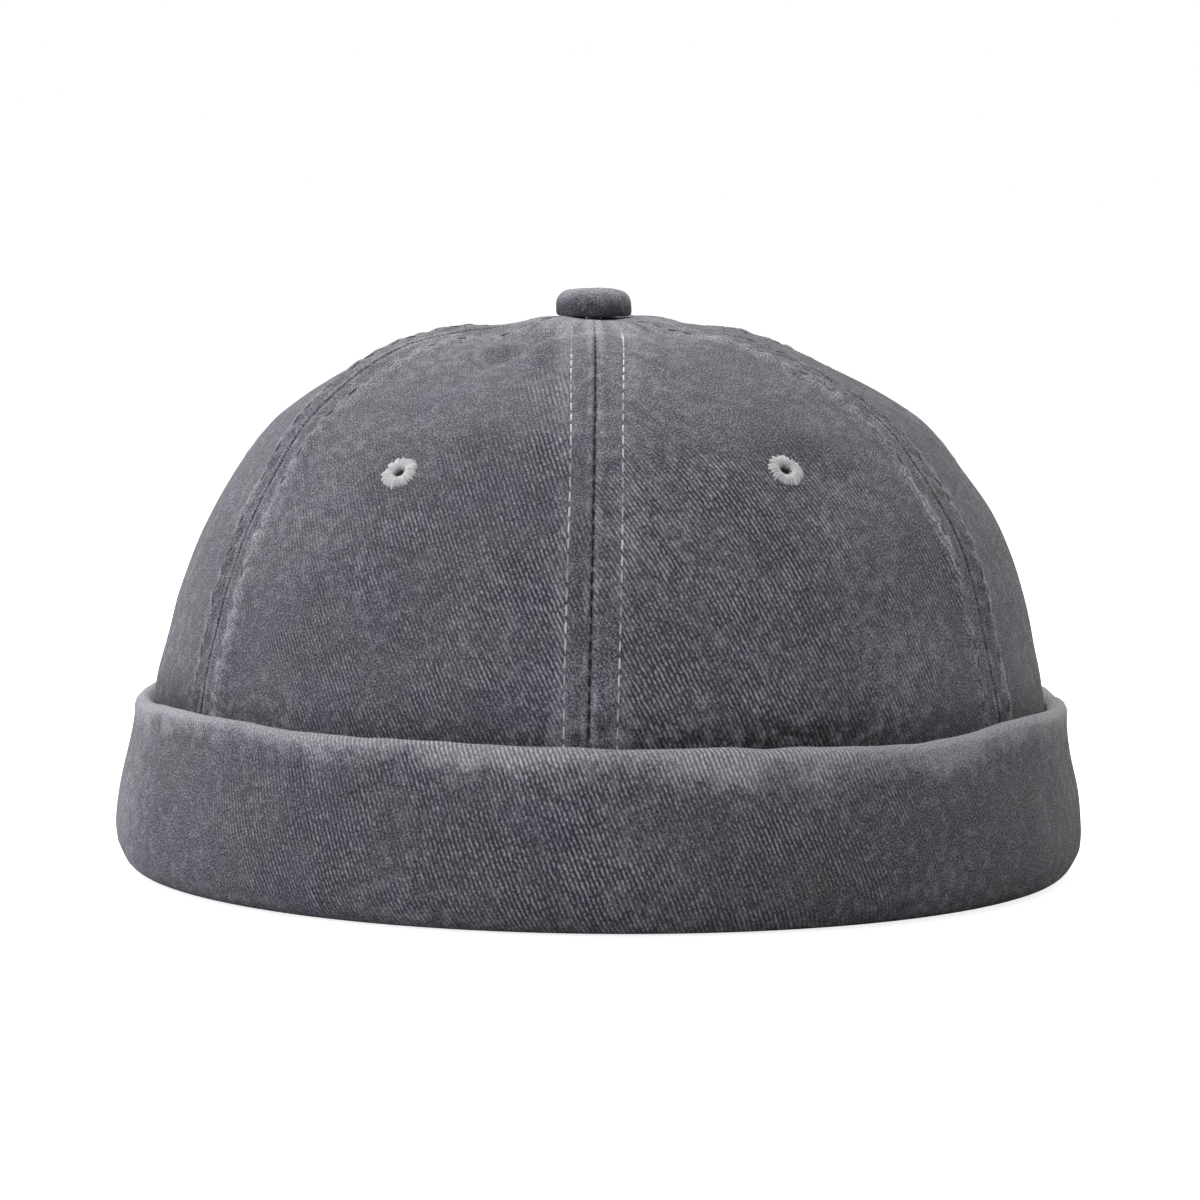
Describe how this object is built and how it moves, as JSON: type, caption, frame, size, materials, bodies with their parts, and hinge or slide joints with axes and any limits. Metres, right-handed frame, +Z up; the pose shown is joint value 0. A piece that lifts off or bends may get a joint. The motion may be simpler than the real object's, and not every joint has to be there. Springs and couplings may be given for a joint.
{
  "type": "brimless cap",
  "caption": "Brimless cotton cap with a domed crown of sewn gores, a turned-up cuff, worked eyelets and a covered top button.",
  "frame": {"origin": "centre of the bounding box's foot, on the surface the cuff rests on", "axes": "+Z up through the button, front of the cap to -Y, the wearer's left to +X; longest from front to back along Y, lowest along Z"},
  "size_m": [0.1896, 0.2168, 0.1132],
  "materials": {
    "gore_front_left": "washed cotton twill, matt",
    "gore_front_right": "washed cotton twill, matt",
    "gore_side_left": "washed cotton twill, matt",
    "gore_side_right": "washed cotton twill, matt",
    "gore_back_left": "washed cotton twill, matt",
    "gore_back_right": "washed cotton twill, matt",
    "cuff": "washed cotton twill, matt, worn pale along the fold",
    "eyelet_front_left": "worked cotton thread",
    "eyelet_front_right": "worked cotton thread",
    "eyelet_side_left": "worked cotton thread",
    "eyelet_side_right": "worked cotton thread",
    "eyelet_back_left": "worked cotton thread",
    "eyelet_back_right": "worked cotton thread",
    "top_button": "covered in the same twill",
    "button_rivet": "plain steel"
  },
  "bodies": {
    "root": {"panel_front_left": "gore_front_left", "panel_front_right": "gore_front_right", "panel_side_left": "gore_side_left", "panel_side_right": "gore_side_right", "panel_back_left": "gore_back_left", "panel_back_right": "gore_back_right", "cuff": "cuff", "eyelet_front_left": "eyelet_front_left", "eyelet_front_right": "eyelet_front_right", "eyelet_side_left": "eyelet_side_left", "eyelet_side_right": "eyelet_side_right", "eyelet_back_left": "eyelet_back_left", "eyelet_back_right": "eyelet_back_right", "top_button": "top_button", "button_rivet": "button_rivet"}
  },
  "joints": []
}
